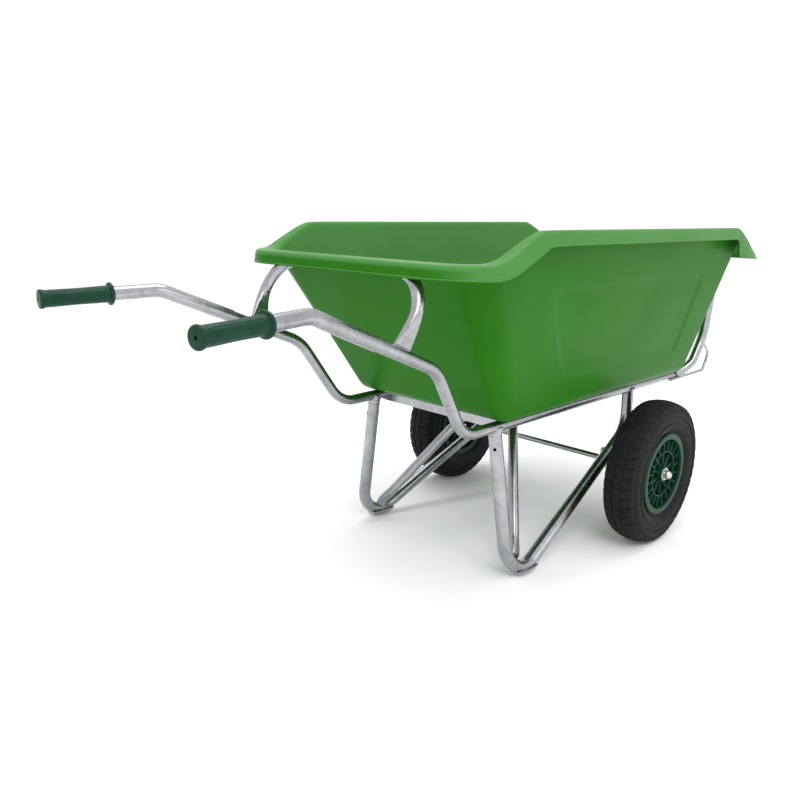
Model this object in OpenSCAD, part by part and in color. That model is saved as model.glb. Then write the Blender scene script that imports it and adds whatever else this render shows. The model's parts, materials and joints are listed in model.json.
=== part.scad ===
// Two-wheeled stable barrow: a plastic tub on a galvanised tube frame.
// X points to the dumping lip, Y to the left wheel, Z up; the ground is Z = 0.

/* [Overall] */
// Distance of the axle in front of the middle of the whole barrow
axle_x = 415; // [380:0.5:430]
// Rise of the frame and tub towards the lip, in degrees
frame_pitch = 1.03; // [0:0.01:2]

/* [Wheels] */
// Tyre outside diameter
wheel_d = 400; // [380:2:410]
// Tyre width
tyre_w = 94; // [86:1:102]
// Distance of each wheel's middle from the centre plane
wheel_y = 348; // [340:1:360]
// Axle diameter
axle_d = 16; // [14:1:20]
// Radial running clearance between axle and wheel bush
axle_play = 0.06; // [0.02:0.01:0.1]
// Rim flange diameter
rim_d = 230; // [224:1:236]
// Number of outer ribs in each rim
rim_ribs = 20; // [12:2:24]

/* [Tubes] */
// Frame tube outside diameter
tube_d = 27; // [25:0.5:28]
// Tube wall thickness
tube_wall = 2; // [1.5:0.1:2.5]
// Handle tube outside diameter
handle_d = 30; // [29.5:0.5:32]
// Leg tube outside diameter
leg_d = 33; // [30:0.5:34]
// Brace tube outside diameter
brace_d = 26; // [22:1:28]
// Distance of each side rail from the centre plane
rail_y = 205; // [195:1:215]
// Height of the rail's middle at its rear bend
rail_z = 384.5; // [375:0.5:395]

/* [Handles] */
// Height of the grip ends
grip_z = 685; // [670:1:700]
// Distance of each grip end from the centre plane
grip_y = 289; // [280:1:300]
// Grip length
grip_len = 148; // [130:1:160]
// Grip diameter
grip_d = 36; // [34:1:40]

/* [Tub] */
// Tub wall thickness
tub_wall = 4; // [3.5:0.5:6]
// Height of the side rims above the floor
side_h = 450; // [430:1:460]
// Height of the rear rim above the floor
rear_h = 386; // [380:1:392]
// Height of the tip of the lip above the floor
lip_h = 366; // [360:1:375]
// Depth of the rim skirt
skirt_h = 32; // [24:1:36]

/* [Hidden] */
$fn = 64;
pitch_rise = tan(frame_pitch);
axle_z = wheel_d / 2;
rear_bend_x = -673;
steel = "silver";
tub_green = "forestgreen";
grip_green = "darkgreen";
tyre_black = "black";

// ---- small vector helpers ----
function unit(v) = v / norm(v);
function rail_z_at(x) = rail_z + (x - rear_bend_x) * pitch_rise;

// Places an upright child so that its Z axis runs along d, from point p
module along(p, d) {
  w = unit(d);
  s = abs(w[2]) > 0.9 ? [1, 0, 0] : [0, 0, 1];
  u = unit(cross(s, w));
  v = cross(w, u);
  multmatrix([[u[0], v[0], w[0], p[0]], [u[1], v[1], w[1], p[1]],
    [u[2], v[2], w[2], p[2]], [0, 0, 0, 1]]) children();
}

// Length that a bend of radius r takes off each side of the corner b
function bend_cut(a, b, c, r) = r * tan(acos(unit(b - a) * unit(c - b)) / 2);

// Straight lengths run this far into each bend, whose wall sits inside theirs
lap = 0.5;
bend_slim = 0.1;

// One bend of radius r at the corner b, with a ring-shaped section
module bend(a, b, c, r, od, id) {
  d1 = unit(b - a);
  d2 = unit(c - b);
  turn = acos(d1 * d2);
  inward = unit(d2 - (d1 * d2) * d1);
  centre = b - bend_cut(a, b, c, r) * d1 + r * inward;
  n = cross(-inward, d1);
  multmatrix([[-inward[0], d1[0], n[0], centre[0]], [-inward[1], d1[1], n[1], centre[1]],
    [-inward[2], d1[2], n[2], centre[2]], [0, 0, 0, 1]])
    rotate_extrude(angle = turn) translate([r, 0]) ring(od, id);
}

module ring(od, id) {
  difference() {
    circle(d = od);
    if (id > 0) circle(d = id);
  }
}

// Bent tube through the points, with one bend radius per inner point
module bent_tube(points, radii, od, id) {
  last = len(points) - 1;
  for (i = [0 : last - 1]) {
    a = points[i];
    b = points[i + 1];
    d = unit(b - a);
    cut_a = i == 0 ? 0 : bend_cut(points[i - 1], a, b, radii[i - 1]);
    cut_b = i == last - 1 ? 0 : bend_cut(a, b, points[i + 2], radii[i]);
    from = i == 0 ? 0 : cut_a - lap;
    to = norm(b - a) - (i == last - 1 ? 0 : cut_b - lap);
    along(a + d * from, d) linear_extrude(to - from) ring(od, id);
  }
  for (i = [1 : 1 : last - 1])
    bend(points[i - 1], points[i], points[i + 1], radii[i - 1], od - bend_slim,
      id > 0 ? id + bend_slim : 0);
}

// Draws left-hand geometry, or its mirror image when side is -1
module on_side(side) {
  if (side > 0) children();
  else mirror([0, 1, 0]) children();
}

module from_axle() {
  translate([axle_x, 0, 0]) children();
}

// ---- frame lines, measured from the axle ----
grip_end = [-1416, grip_y, grip_z];
handle_bend = [-1169, 252, 697];
upper_bend = [-798, 223, 555.5];
lower_bend = [rear_bend_x, rail_y, rail_z];
rail_end = [432, rail_y, rail_z_at(432)];
slope_dir = unit(upper_bend - handle_bend);
sleeve_end = handle_bend + slope_dir * 189;
tube_start = handle_bend + slope_dir * 85;
leg_top = [-548, rail_y - 3, rail_z_at(-548)];
leg_corner = [-525.7, 261, -23.6];
arm_corner = [100, 211, 275.3];
arm_top = [100, rail_y, rail_z_at(100)];
leg_path = [leg_top, leg_corner, arm_corner, arm_top];
leg_radii = [81.5, 85];

module frame_line(d) {
  bent_tube([tube_start, upper_bend, lower_bend, rail_end], [110, 90], d, 0);
}

module leg_line(d) {
  bent_tube(leg_path, leg_radii, d, 0);
}

module frame_tube(side) {
  color(steel) from_axle() on_side(side)
    bent_tube([tube_start, upper_bend, lower_bend, rail_end], [110, 90],
      tube_d, tube_d - 2 * tube_wall);
}

module handle_tube(side) {
  color(steel) from_axle() on_side(side)
    bent_tube([grip_end + 6 * unit(handle_bend - grip_end), handle_bend, sleeve_end], [80],
      handle_d, tube_d + 0.2);
}

// Plastic grip with a rounded end, a collar and shallow finger grooves
module grip(side) {
  flange_d = 48;
  end_d = 40;
  color(grip_green) from_axle() on_side(side)
    along(grip_end, handle_bend - grip_end)
    difference() {
      union() {
        translate([0, 0, 3]) cylinder(d = end_d, h = 6);
        rotate_extrude() translate([end_d / 2 - 3, 3]) circle(d = 6);
        cylinder(d = end_d - 6, h = 4);
        translate([0, 0, 8]) cylinder(d = grip_d, h = grip_len - 12);
        translate([0, 0, grip_len - 8]) cylinder(d = flange_d, h = 5);
        translate([0, 0, grip_len - 3]) cylinder(d1 = flange_d, d2 = flange_d - 6, h = 3);
      }
      translate([0, 0, 5.5]) cylinder(d = handle_d + 0.1, h = grip_len);
      translate([0, 0, -1]) cylinder(d = 7, h = 8);
      for (a = [0 : 60 : 300]) rotate([0, 0, a]) translate([grip_d / 2 + 1, 0, 18])
        cylinder(d = 4, h = grip_len - 36, $fn = 24);
    }
}

hoop_foot = [-919, 232.4, 611.5];
hoop_knee = [-903, 243, 657];
hoop_corner = [-862, 256, 761];

module rear_hoop() {
  across = [1, -1, 1];
  color(steel) from_axle() {
    difference() {
      bent_tube([hoop_knee, hoop_corner, [for (i = [0:2]) hoop_corner[i] * across[i]],
        [for (i = [0:2]) hoop_knee[i] * across[i]]], [90, 90], tube_d, tube_d - 2 * tube_wall);
      for (side = [1, -1]) translate([-893, side * 246, 682]) rotate([90 * side, 0, 0])
        cylinder(d = 8, h = 20, $fn = 24);
    }
    for (side = [1, -1]) on_side(side) hoop_end(hoop_knee, hoop_foot, 25, 40);
  }
}

// Solid tube end cut to a wedge that is thin along X (thin = 0) or along Y (thin = 1)
module pressed_end(neck, tip, d, thin) {
  way = unit(tip - neck);
  back = neck - 10 * way;
  outline = [[back[thin] - d, back[2]], [back[thin] + d, back[2]],
    [tip[thin] + 2.2, tip[2]], [tip[thin] - 2.2, tip[2]]];
  intersection() {
    along(neck - 2 * way, way) cylinder(d = d - 2.6, h = norm(tip - neck) + 2);
    rotate([90, 0, thin * 90]) linear_extrude(3000, center = true) polygon(outline);
  }
}

// Flattened and spread hoop end, welded to the frame tube and cut off level below its foot
module hoop_end(knee, foot, half_w, low) {
  difference() {
    union() {
      pressed_end(knee, foot, tube_d, 1);
      end_plate(knee, foot, half_w);
    }
    frame_line(tube_d);
    translate(foot - [60, 60, 100 + low]) cube([120, 120, 100]);
  }
}

// Plate that leans from foot to knee and narrows as it rises
module end_plate(knee, foot, half_w) {
  up = unit([knee[0] - foot[0], knee[2] - foot[2]]);
  across = half_w * [up[1], -up[0]];
  lean = 60 * [(knee[1] - foot[1]) / (knee[2] - foot[2]), 1];
  at = [foot[0], foot[2]];
  side_at = [foot[1], foot[2]];
  rise = norm(knee - foot);
  steps = [[1, -16], [1, 4], [0.78, rise * 0.53], [0.5, rise * 0.75], [-0.5, rise * 0.75],
    [-0.78, rise * 0.53], [-1, 4], [-1, -16]];
  intersection() {
    rotate([90, 0, 0]) linear_extrude(1500, center = true)
      polygon([for (p = steps) at + p[0] * across + p[1] * up]);
    rotate([90, 0, 90]) linear_extrude(3000, center = true)
      polygon([side_at - lean - [2.5, 0], side_at - lean + [2.5, 0], side_at + lean + [2.5, 0],
        side_at + lean - [2.5, 0]]);
  }
}

front_foot = [399, rail_y + 15.5, rail_z_at(399) + 2];
front_knee = [432, rail_y + 41, rail_z_at(432) + 42];
front_neck = front_foot + 0.62 * (front_knee - front_foot);
front_bend = [470, 254, 530];
front_corner = [473, 265, 782];

module front_hoop() {
  color(steel) from_axle() {
    half = [front_neck, front_knee, front_bend, front_corner];
    other = [for (i = [3 : -1 : 0]) [half[i][0], -half[i][1], half[i][2]]];
    bent_tube(concat(half, other), [40, 150, 90, 90, 150, 40], tube_d, tube_d - 2 * tube_wall);
    for (side = [1, -1]) on_side(side) hoop_end(front_neck, front_foot, 20, 5);
  }
}

module tip_stop(side) {
  rod_d = 9;
  dip = 11.7;
  color(steel) from_axle() on_side(side) difference() {
    bent_tube([[350, rail_y + 13.6, rail_z_at(350) - dip], [566, 228, 401],
      [600, 229, 455], [466, 255, 512]], [16, 34], rod_d, 0);
    front_hoop_line(tube_d);
    frame_line(tube_d);
  }
}

module front_hoop_line(d) {
  bent_tube([front_knee, front_bend, front_corner], [150], d, 0);
}

module leg(side) {
  color(steel) from_axle() on_side(side) difference() {
    bent_tube(leg_path, leg_radii, leg_d, leg_d - 2 * tube_wall - 1);
    frame_line(tube_d);
    translate([-560, 216, 335]) rotate([0, 90, 0]) cylinder(d = 8, h = 12, $fn = 24);
  }
}

// Wear saddle under the bend of each leg, flat where it stands
module foot_shoe(side) {
  thick = 5;
  cover = 40;
  color(steel) from_axle() on_side(side) difference() {
    intersection() {
      bend(leg_path[0], leg_path[1], leg_path[2], leg_radii[0], leg_d + 2 * thick, 0);
      translate([-456 - cover, 200, 0]) cube([2 * cover, 110, 19]);
    }
    leg_line(leg_d);
  }
}

brace_low = [-468, 234.5, 50];
brace_low_neck = [-449, 215.6, 80];
brace_high_neck = [-291, 79, 326];
brace_high = [-272, 62.5, 356];

module leg_brace(side) {
  color(steel) from_axle() on_side(side) {
    bent_tube([brace_low_neck, brace_high_neck], [], brace_d, brace_d - 2 * tube_wall);
    difference() {
      union() {
        pressed_end(brace_low_neck, brace_low, brace_d, 1);
        translate(brace_low) rotate([0, 32, 0]) translate([-17, -2.5, -16]) cube([34, 5, 22.5]);
      }
      leg_line(leg_d);
    }
    difference() {
      union() {
        pressed_end(brace_high_neck, brace_high, brace_d, 0);
        translate(brace_high) translate([-2.5, -17, -6.5]) cube([5, 34, 37]);
      }
      translate([-269.5, -200, 340]) cube([40, 400, 80]);
    }
  }
}

// Angle bar between the rails; its top face carries the tub
module cross_strip(x) {
  leg = 30;
  thick = 3;
  top = rail_z_at(x) + tube_d / 2;
  color(steel) from_axle() difference() {
    union() {
      translate([x, -rail_y, top - leg]) cube([thick, 2 * rail_y, leg]);
      translate([x, -rail_y, top - thick]) cube([leg, 2 * rail_y, thick]);
    }
    for (side = [1, -1]) {
      translate([x - 50, side * rail_y, rail_z_at(x - 50)]) rotate([0, 90 - frame_pitch, 0])
        cylinder(d = tube_d, h = 150);
      translate([x + 17, side * bolt_y, top - 10]) cylinder(d = 9, h = 20);
    }
  }
}

rear_strip_x = -514;
middle_strip_x = -269.5;
bolt_y = 130;

module rear_cross_strip() {
  cross_strip(rear_strip_x);
}

module middle_cross_strip() {
  cross_strip(middle_strip_x);
}

// ---- axle and wheels ----
module across_y(y, d, h) {
  translate([0, y, axle_z]) rotate([-90, 0, 0]) cylinder(d = d, h = h);
}

wheel_side = wheel_y + 39.5;
bracket_y = 205;
bracket_w = 34;
plate = 5;

module axle() {
  half = wheel_side + 9;
  color(steel) from_axle() across_y(-half, axle_d, 2 * half);
}

// Folded strap that hangs the axle under each leg tube
module axle_bracket(side) {
  color(steel) from_axle() on_side(side) difference() {
    for (y = [bracket_y - plate, bracket_y + bracket_w - plate]) bracket_plate(y);
    leg_line(leg_d);
    across_y(bracket_y - 20, axle_d + 0.2, 80);
  }
  color(steel) from_axle() on_side(side) difference() {
    translate([-18, bracket_y - plate, axle_z - 22]) cube([36, bracket_w + plate, plate]);
    across_y(bracket_y - 20, axle_d + 0.2, 80);
  }
}

module bracket_plate(y) {
  translate([-18, y, axle_z - 22]) cube([36, plate, 56]);
}

module axle_spacer(side) {
  start = bracket_y + bracket_w;
  color(steel) from_axle() on_side(side) difference() {
    across_y(start, axle_d + 6, wheel_y - 42 - start);
    across_y(start - 5, axle_d + 0.2, 120);
  }
}

module axle_washers() {
  color(steel) from_axle() for (side = [1, -1]) on_side(side)
    for (y = [wheel_y - 42, wheel_side + 0.5]) difference() {
      across_y(y, axle_d + 14, 2);
      across_y(y - 1, axle_d + 0.2, 4);
    }
}

// Domed push-on cap that keeps the wheel on the axle
module axle_cap(side) {
  color(steel) from_axle() on_side(side) difference() {
    union() {
      across_y(wheel_side + 2.5, axle_d + 8, 4);
      translate([0, wheel_side + 6.5, axle_z]) intersection() {
        sphere(d = axle_d + 7);
        translate([-20, 0, -20]) cube(40);
      }
    }
    across_y(wheel_side - 1, axle_d, 10);
  }
}

// Turns a profile drawn as (radius, sideways) about the axle, at a wheel's middle
module wheel_turn(side) {
  translate([0, side * wheel_y, axle_z]) rotate([-90 * side, 0, 0])
    rotate_extrude($fn = 128) children();
}

module tyre(side) {
  section = tyre_w / 2;
  middle = wheel_d / 2 - section;
  color(tyre_black) from_axle() wheel_turn(side) difference() {
    union() {
      translate([middle, 0]) circle(r = section);
      intersection() {
        translate([wheel_d / 2 - 95, 0]) circle(r = 95);
        translate([middle, -38]) square([60, 76]);
      }
      translate([rim_d / 2 - 13, -33]) square([16, 66]);
    }
    translate([middle, 0]) circle(r = section - 6);
    translate([rim_d / 2 - 14, -23]) square([20, 46]);
  }
}

module inner_tube(side) {
  section = tyre_w / 2;
  color("dimgray") from_axle() wheel_turn(side)
    translate([wheel_d / 2 - section, 0]) ring(2 * section - 13, 2 * section - 17);
}

module rim(side) {
  seat = rim_d / 2 - 13.3;
  middle_ring = 61;
  hub = 21;
  color(grip_green) from_axle() {
    difference() {
      union() {
        wheel_turn(side) {
          translate([seat - 5, -36]) square([5, 72]);
          for (s = [1, -1]) {
            translate([seat - 5, s * 36.7 - 2.8]) square([rim_d / 2 - seat + 2.4, 5.6]);
            translate([rim_d / 2 - 2.8, s * 36.7]) circle(r = 2.8, $fn = 32);
          }
          translate([middle_ring, -34]) square([3.5, 68]);
          translate([hub - 8, -37.5]) square([8, 75]);
          translate([hub - 1, -2]) square([seat - hub - 2, 4]);
        }
        rim_bars(rim_ribs, middle_ring + 2, seat - 3, 3.2, 34, side);
        rim_bars(rim_ribs / 2, hub - 2, middle_ring + 1, 4, 30, side);
      }
      wheel_turn(side) translate([0, -50]) square([13, 100]);
      valve_hole(side, 9);
    }
  }
}

// Radial plates, half on each face of the rim's web
module rim_bars(count, from_r, to_r, thick, half_w, side) {
  for (i = [0 : count - 1])
    translate([0, side * wheel_y, axle_z]) rotate([0, (i + 0.5) * 360 / count, 0])
      translate([from_r, -half_w, -thick / 2]) cube([to_r - from_r, 2 * half_w, thick]);
}

module valve_hole(side, d) {
  translate([0, side * (wheel_y + 17), axle_z]) cylinder(d = d, h = 110);
}

module valve(side) {
  color(tyre_black) from_axle() translate([0, side * (wheel_y + 17), axle_z]) {
    translate([0, 0, 74]) cylinder(d = 8.6, h = 27.5);
    translate([0, 0, 68]) cylinder(d = 6, h = 7);
  }
}

module wheel_bushes(side) {
  color("ivory") from_axle() wheel_turn(side) for (s = [1, -1]) {
    y = s > 0 ? 10 : -37.5;
    f = s > 0 ? 37.5 : -39.5;
    bore = axle_d / 2 + axle_play;
    translate([bore, y]) square([13 - bore, 27.5]);
    translate([bore, f]) square([17 - bore, 2]);
  }
}

// ---- tub, drawn level and then tipped with the frame ----
module tub_place() {
  from_axle() translate([rear_bend_x, 0, rail_z]) rotate([0, -frame_pitch, 0])
    translate([-rear_bend_x, 0, tube_d / 2]) children();
}

// Side outline of the rim: its top edge from the rear to the tip of the lip
rim_top = [[-887, rear_h - 1], [-800, rear_h], [-775, rear_h + 7], [-690, side_h - 14],
  [-655, side_h - 1], [-600, side_h], [350, side_h], [385, side_h - 13], [430, side_h - 36],
  [468, lip_h + 24], [512, lip_h - 4]];
rim_bottom = [[512, lip_h - 9], [355, lip_h], [339, lip_h + 6], [330, side_h - skirt_h - 6],
  [318, side_h - skirt_h], [-600, side_h - skirt_h], [-645, side_h - skirt_h - 1],
  [-765, rear_h - skirt_h + 8], [-800, rear_h - skirt_h], [-887, rear_h - skirt_h]];
sheet_bottom = [for (i = [len(rim_top) - 1 : -1 : 0]) rim_top[i] - [0, tub_wall - 1]];
edge_top = [for (i = [len(rim_bottom) - 1 : -1 : 0]) rim_bottom[i] + [0, i == 0 ? 4 : 6]];

module side_extrude(outline) {
  rotate([90, 0, 0]) linear_extrude(900, center = true) polygon(outline);
}

// Outline of the rim from above; narrow takes width off its sides alone
module rim_plan(inset, narrow) {
  rear_r = 145;
  front_r = 30;
  half = 387 - narrow;
  hull() {
    for (s = [1, -1]) {
      translate([-887 + rear_r, s * (half - rear_r)]) circle(r = rear_r - inset, $fn = 96);
      translate([512 - front_r, s * (half - 6 - front_r)]) circle(r = front_r - inset, $fn = 48);
    }
    translate([-600, inset - half]) square([900, 2 * (half - inset)]);
  }
}

// Solid that fills the tub; skin shrinks it to leave the walls
module tub_solid(skin, top) {
  base_r = 35;
  hull() {
    for (s = [1, -1]) {
      translate([-549, s * 217, base_r]) sphere(r = base_r - skin, $fn = 32);
      translate([356, s * 217, base_r]) sphere(r = base_r - skin, $fn = 32);
      translate([-794, s * 270, 460]) cylinder(r = 86 - skin, h = 0.1, $fn = 64);
      translate([421, s * 326, 460]) cylinder(r = 30 - skin, h = 0.1, $fn = 48);
      if (top > 0) {
        translate([-808, s * 272, 480]) cylinder(r = 86 - skin, h = 0.1, $fn = 64);
        translate([424, s * 331, 480]) cylinder(r = 30 - skin, h = 0.1, $fn = 48);
      }
    }
  }
}

module tub() {
  below_rim = concat([[512, -10], [-1000, -10], [-1000, rear_h - 1]], rim_top);
  color(tub_green) tub_place() difference() {
    union() {
      intersection() {
        tub_solid(0, 0);
        side_extrude(below_rim);
      }
      rim_band(concat(rim_top, sheet_bottom)) rim_plan(0, 8);
      rim_band(concat(rim_top, rim_bottom)) difference() {
        rim_plan(0, 8);
        rim_plan(tub_wall - 1, 8);
      }
      rim_band(concat(edge_top, rim_bottom)) difference() {
        rim_plan(0, 0);
        rim_plan(tub_wall - 1, 7);
      }
    }
    tub_solid(tub_wall, 1);
    tub_bolt_places() translate([0, 0, -5]) cylinder(d = 9, h = 20, $fn = 32);
  }
}

// Upright walls over a plan, kept only inside a side outline
module rim_band(outline) {
  intersection() {
    side_extrude(outline);
    translate([0, 0, 300]) linear_extrude(200) children();
  }
}

module tub_bolt_places() {
  for (x = [rear_strip_x + 17, middle_strip_x + 17], s = [1, -1])
    translate([x, s * bolt_y, 0]) children();
}

module tub_bolts() {
  color(steel) tub_place() tub_bolt_places() {
    translate([0, 0, -16]) cylinder(d = 8, h = 22, $fn = 32);
    translate([0, 0, tub_wall + 0.25]) cylinder(d1 = 22, d2 = 12, h = 4, $fn = 48);
  }
}

module tub_nuts() {
  color(steel) tub_place() tub_bolt_places() difference() {
    union() {
      translate([0, 0, -5.5]) cylinder(d = 17, h = 2, $fn = 48);
      translate([0, 0, -11.8]) cylinder(d = 15, h = 6.5, $fn = 6);
    }
    translate([0, 0, -20]) cylinder(d = 8, h = 20, $fn = 32);
  }
}

tub();
tub_bolts();
tub_nuts();
frame_tube(1);  // frame_tube_left
frame_tube(-1);  // frame_tube_right
handle_tube(1);  // handle_tube_left
handle_tube(-1);  // handle_tube_right
grip(1);  // grip_left
grip(-1);  // grip_right
rear_hoop();
front_hoop();
tip_stop(1);  // tip_stop_left
tip_stop(-1);  // tip_stop_right
leg(1);  // leg_left
leg(-1);  // leg_right
leg_brace(1);  // leg_brace_left
leg_brace(-1);  // leg_brace_right
foot_shoe(1);  // foot_shoe_left
foot_shoe(-1);  // foot_shoe_right
rear_cross_strip();
middle_cross_strip();
axle();
axle_bracket(1);  // axle_bracket_left
axle_bracket(-1);  // axle_bracket_right
axle_spacer(1);  // axle_spacer_left
axle_spacer(-1);  // axle_spacer_right
axle_washers();
axle_cap(1);  // axle_cap_left
axle_cap(-1);  // axle_cap_right
tyre(1);  // tyre_left
tyre(-1);  // tyre_right
inner_tube(1);  // inner_tube_left
inner_tube(-1);  // inner_tube_right
rim(1);  // rim_left
rim(-1);  // rim_right
wheel_bushes(1);  // wheel_bushes_left
wheel_bushes(-1);  // wheel_bushes_right
valve(1);  // valve_left
valve(-1);  // valve_right
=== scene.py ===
import json
import math

import bmesh
import bpy
import numpy as np
from mathutils import Matrix, Vector


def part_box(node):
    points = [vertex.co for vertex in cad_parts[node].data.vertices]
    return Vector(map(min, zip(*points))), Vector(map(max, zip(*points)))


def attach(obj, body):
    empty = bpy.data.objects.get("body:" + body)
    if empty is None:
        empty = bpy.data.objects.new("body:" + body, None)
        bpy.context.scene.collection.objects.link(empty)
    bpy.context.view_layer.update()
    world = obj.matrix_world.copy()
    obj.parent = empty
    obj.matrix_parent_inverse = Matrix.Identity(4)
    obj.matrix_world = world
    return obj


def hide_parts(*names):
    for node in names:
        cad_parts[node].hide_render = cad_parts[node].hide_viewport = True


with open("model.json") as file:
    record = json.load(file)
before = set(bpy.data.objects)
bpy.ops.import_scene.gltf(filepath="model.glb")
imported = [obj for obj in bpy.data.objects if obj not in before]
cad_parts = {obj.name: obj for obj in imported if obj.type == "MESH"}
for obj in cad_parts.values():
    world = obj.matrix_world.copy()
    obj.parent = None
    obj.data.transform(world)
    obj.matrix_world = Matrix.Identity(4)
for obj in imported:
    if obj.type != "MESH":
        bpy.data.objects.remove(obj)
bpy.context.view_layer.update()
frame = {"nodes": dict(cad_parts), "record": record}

AXLE_LO, AXLE_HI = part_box("axle")
AXLE_X = (AXLE_LO.x + AXLE_HI.x) / 2
AXLE_Z = (AXLE_LO.z + AXLE_HI.z) / 2
SIDES = {"left": 1, "right": -1}
MM = 0.001


# ---------------------------------------------------------------- small maths
def smooth(t):
    t = np.clip(t, 0.0, 1.0)
    return t * t * (3 - 2 * t)


def unit(v):
    v = np.asarray(v, float)
    return v / np.linalg.norm(v)


def place(points):
    """Points in millimetres, X from the axle and Z from the ground, become metres in the shared frame."""
    p = np.asarray(points, float) * MM
    return p + np.array([AXLE_X, 0, 0])


def mirrored(points, side):
    return np.asarray(points, float) * np.array([1, side, 1])


def curve3(p, q, r, steps):
    """Points on the curve that leaves p towards q and comes to r from q."""
    out = []
    for k in range(steps + 1):
        t = k / steps
        out.append(p * (1 - t) ** 2 + q * 2 * t * (1 - t) + r * t * t)
    return out


def rounded_path(points, radii, step=6.0):
    """A polyline with a circular bend of the given radius at each inner point."""
    points = [np.asarray(p, float) for p in points]
    out = [points[0]]
    for i, radius in enumerate(radii, 1):
        a, b, c = points[i - 1], points[i], points[i + 1]
        d1, d2 = unit(b - a), unit(c - b)
        turn = math.acos(max(-1, min(1, float(d1 @ d2))))
        if turn < 1e-4:
            out.append(b)
            continue
        cut = radius * math.tan(turn / 2)
        inward = unit(d2 - (d1 @ d2) * d1)
        centre = b - d1 * cut + inward * radius
        steps = max(6, int(radius * turn / step))
        for k in range(steps + 1):
            t = turn * k / steps
            out.append(centre - inward * radius * math.cos(t) + d1 * radius * math.sin(t))
    out.append(points[-1])
    dense = [out[0]]
    for a, b in zip(out, out[1:]):
        n = max(1, int(np.linalg.norm(b - a) / (step * 2.5)))
        dense += [a + (b - a) * k / n for k in range(1, n + 1)]
    return np.array(dense)


def path_frames(path, wide):
    """Tangents and two cross directions carried along the path without twist."""
    t = np.gradient(path, axis=0)
    t /= np.linalg.norm(t, axis=1)[:, None]
    w = unit(np.asarray(wide, float) - (np.asarray(wide, float) @ t[0]) * t[0])
    ws = [w]
    for i in range(1, len(path)):
        w = unit(ws[-1] - (ws[-1] @ t[i]) * t[i])
        ws.append(w)
    ws = np.array(ws)
    return t, ws, np.cross(t, ws)


# ---------------------------------------------------------------- mesh building
class Shape:
    """Gathers vertices and faces in millimetres, as place() takes them."""

    def __init__(self):
        self.verts, self.faces = [], []

    def add(self, verts, faces):
        start = len(self.verts)
        self.verts += [tuple(v) for v in np.asarray(verts, float).reshape(-1, 3)]
        self.faces += [tuple(start + i for i in f) for f in faces]

    def rings(self, rings, loop=False):
        """Joins rings of equal length, the last to the first in a loop; else a point closes each end."""
        rings = np.asarray(rings, float)
        n, m = rings.shape[:2]
        base = len(self.verts)
        self.verts += [tuple(v) for v in rings.reshape(-1, 3)]
        for i in range(n if loop else n - 1):
            j = (i + 1) % n
            for k in range(m):
                q = (k + 1) % m
                self.faces.append((base + i * m + k, base + i * m + q, base + j * m + q, base + j * m + k))
        for ring, flip in () if loop else ((0, True), (n - 1, False)):
            c = len(self.verts)
            self.verts.append(tuple(rings[ring].mean(0)))
            for k in range(m):
                a, b = base + ring * m + k, base + ring * m + (k + 1) % m
                self.faces.append((c, b, a) if flip else (c, a, b))

    def box(self, matrix, size, bevel=0.6):
        """A box with rounded edges; matrix places its middle."""
        bm = bmesh.new()
        bmesh.ops.create_cube(bm, size=1)
        bmesh.ops.scale(bm, vec=size, verts=bm.verts)
        bmesh.ops.bevel(bm, geom=bm.edges[:], offset=bevel, segments=2, affect="EDGES", profile=0.5)
        bmesh.ops.transform(bm, matrix=matrix, verts=bm.verts)
        bm.verts.ensure_lookup_table()
        self.add([v.co for v in bm.verts], [[v.index for v in f.verts] for f in bm.faces])
        bm.free()

    def piece(self, name, body, slot, material, replaces=(), side=1, angle=38):
        verts = mirrored(self.verts, side)
        faces = self.faces if side > 0 else [tuple(reversed(f)) for f in self.faces]
        me = bpy.data.meshes.new(name)
        me.from_pydata(place(verts).tolist(), [], faces)
        me.validate()
        bm = bmesh.new()
        bm.from_mesh(me)
        bmesh.ops.recalc_face_normals(bm, faces=bm.faces)
        if bm.calc_volume(signed=True) < 0:
            bmesh.ops.reverse_faces(bm, faces=bm.faces)
        bm.to_mesh(me)
        bm.free()
        me.polygons.foreach_set("use_smooth", [True] * len(me.polygons))
        me.set_sharp_from_angle(angle=math.radians(angle))
        o = bpy.data.objects.new(name, me)
        bpy.context.scene.collection.objects.link(o)
        me.materials.append(material)
        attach(o, body)
        if replaces:
            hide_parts(*([replaces] if isinstance(replaces, str) else replaces))
        return o


# A press height far above any tube, for a section that is left round
UNPRESSED = 1000.0


def section(width, height, count):
    """Points round an ellipse."""
    a = np.arange(count) * 2 * math.pi / count
    return np.stack([width * np.cos(a), height * np.sin(a)], 1)


def sweep_rings(path, frames, halves, count):
    """One ring per path point; halves gives (half width, half height, half height it is pressed to)."""
    t, w, h = frames
    out = []
    for i, p in enumerate(path):
        a, b, press = halves(i)
        q = section(a, b, count)
        q[:, 1] /= (1 + (np.abs(q[:, 1]) / press) ** 9) ** (1 / 9)
        out.append(p + q[:, :1] * w[i] + q[:, 1:] * h[i])
    return np.array(out)


def round_tube(shape, path, od, wall):
    """A hollow tube with slightly eased ends."""
    frames = path_frames(path, (0, 0, 1))
    r, ease = od / 2, 0.8
    outer = sweep_rings(path, frames, lambda i: (r, r, UNPRESSED), 40)
    inner = sweep_rings(path, frames, lambda i: (r - wall, r - wall, UNPRESSED), 40)
    ends = []
    for i, way in ((0, 1), (-1, -1)):
        ends.append(path[i] + (outer[i] - path[i]) * (1 - ease / r))
        outer[i] += frames[0][i] * way * ease
    shape.rings([ends[0], *outer, ends[1], *inner[::-1]], loop=True)


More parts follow.
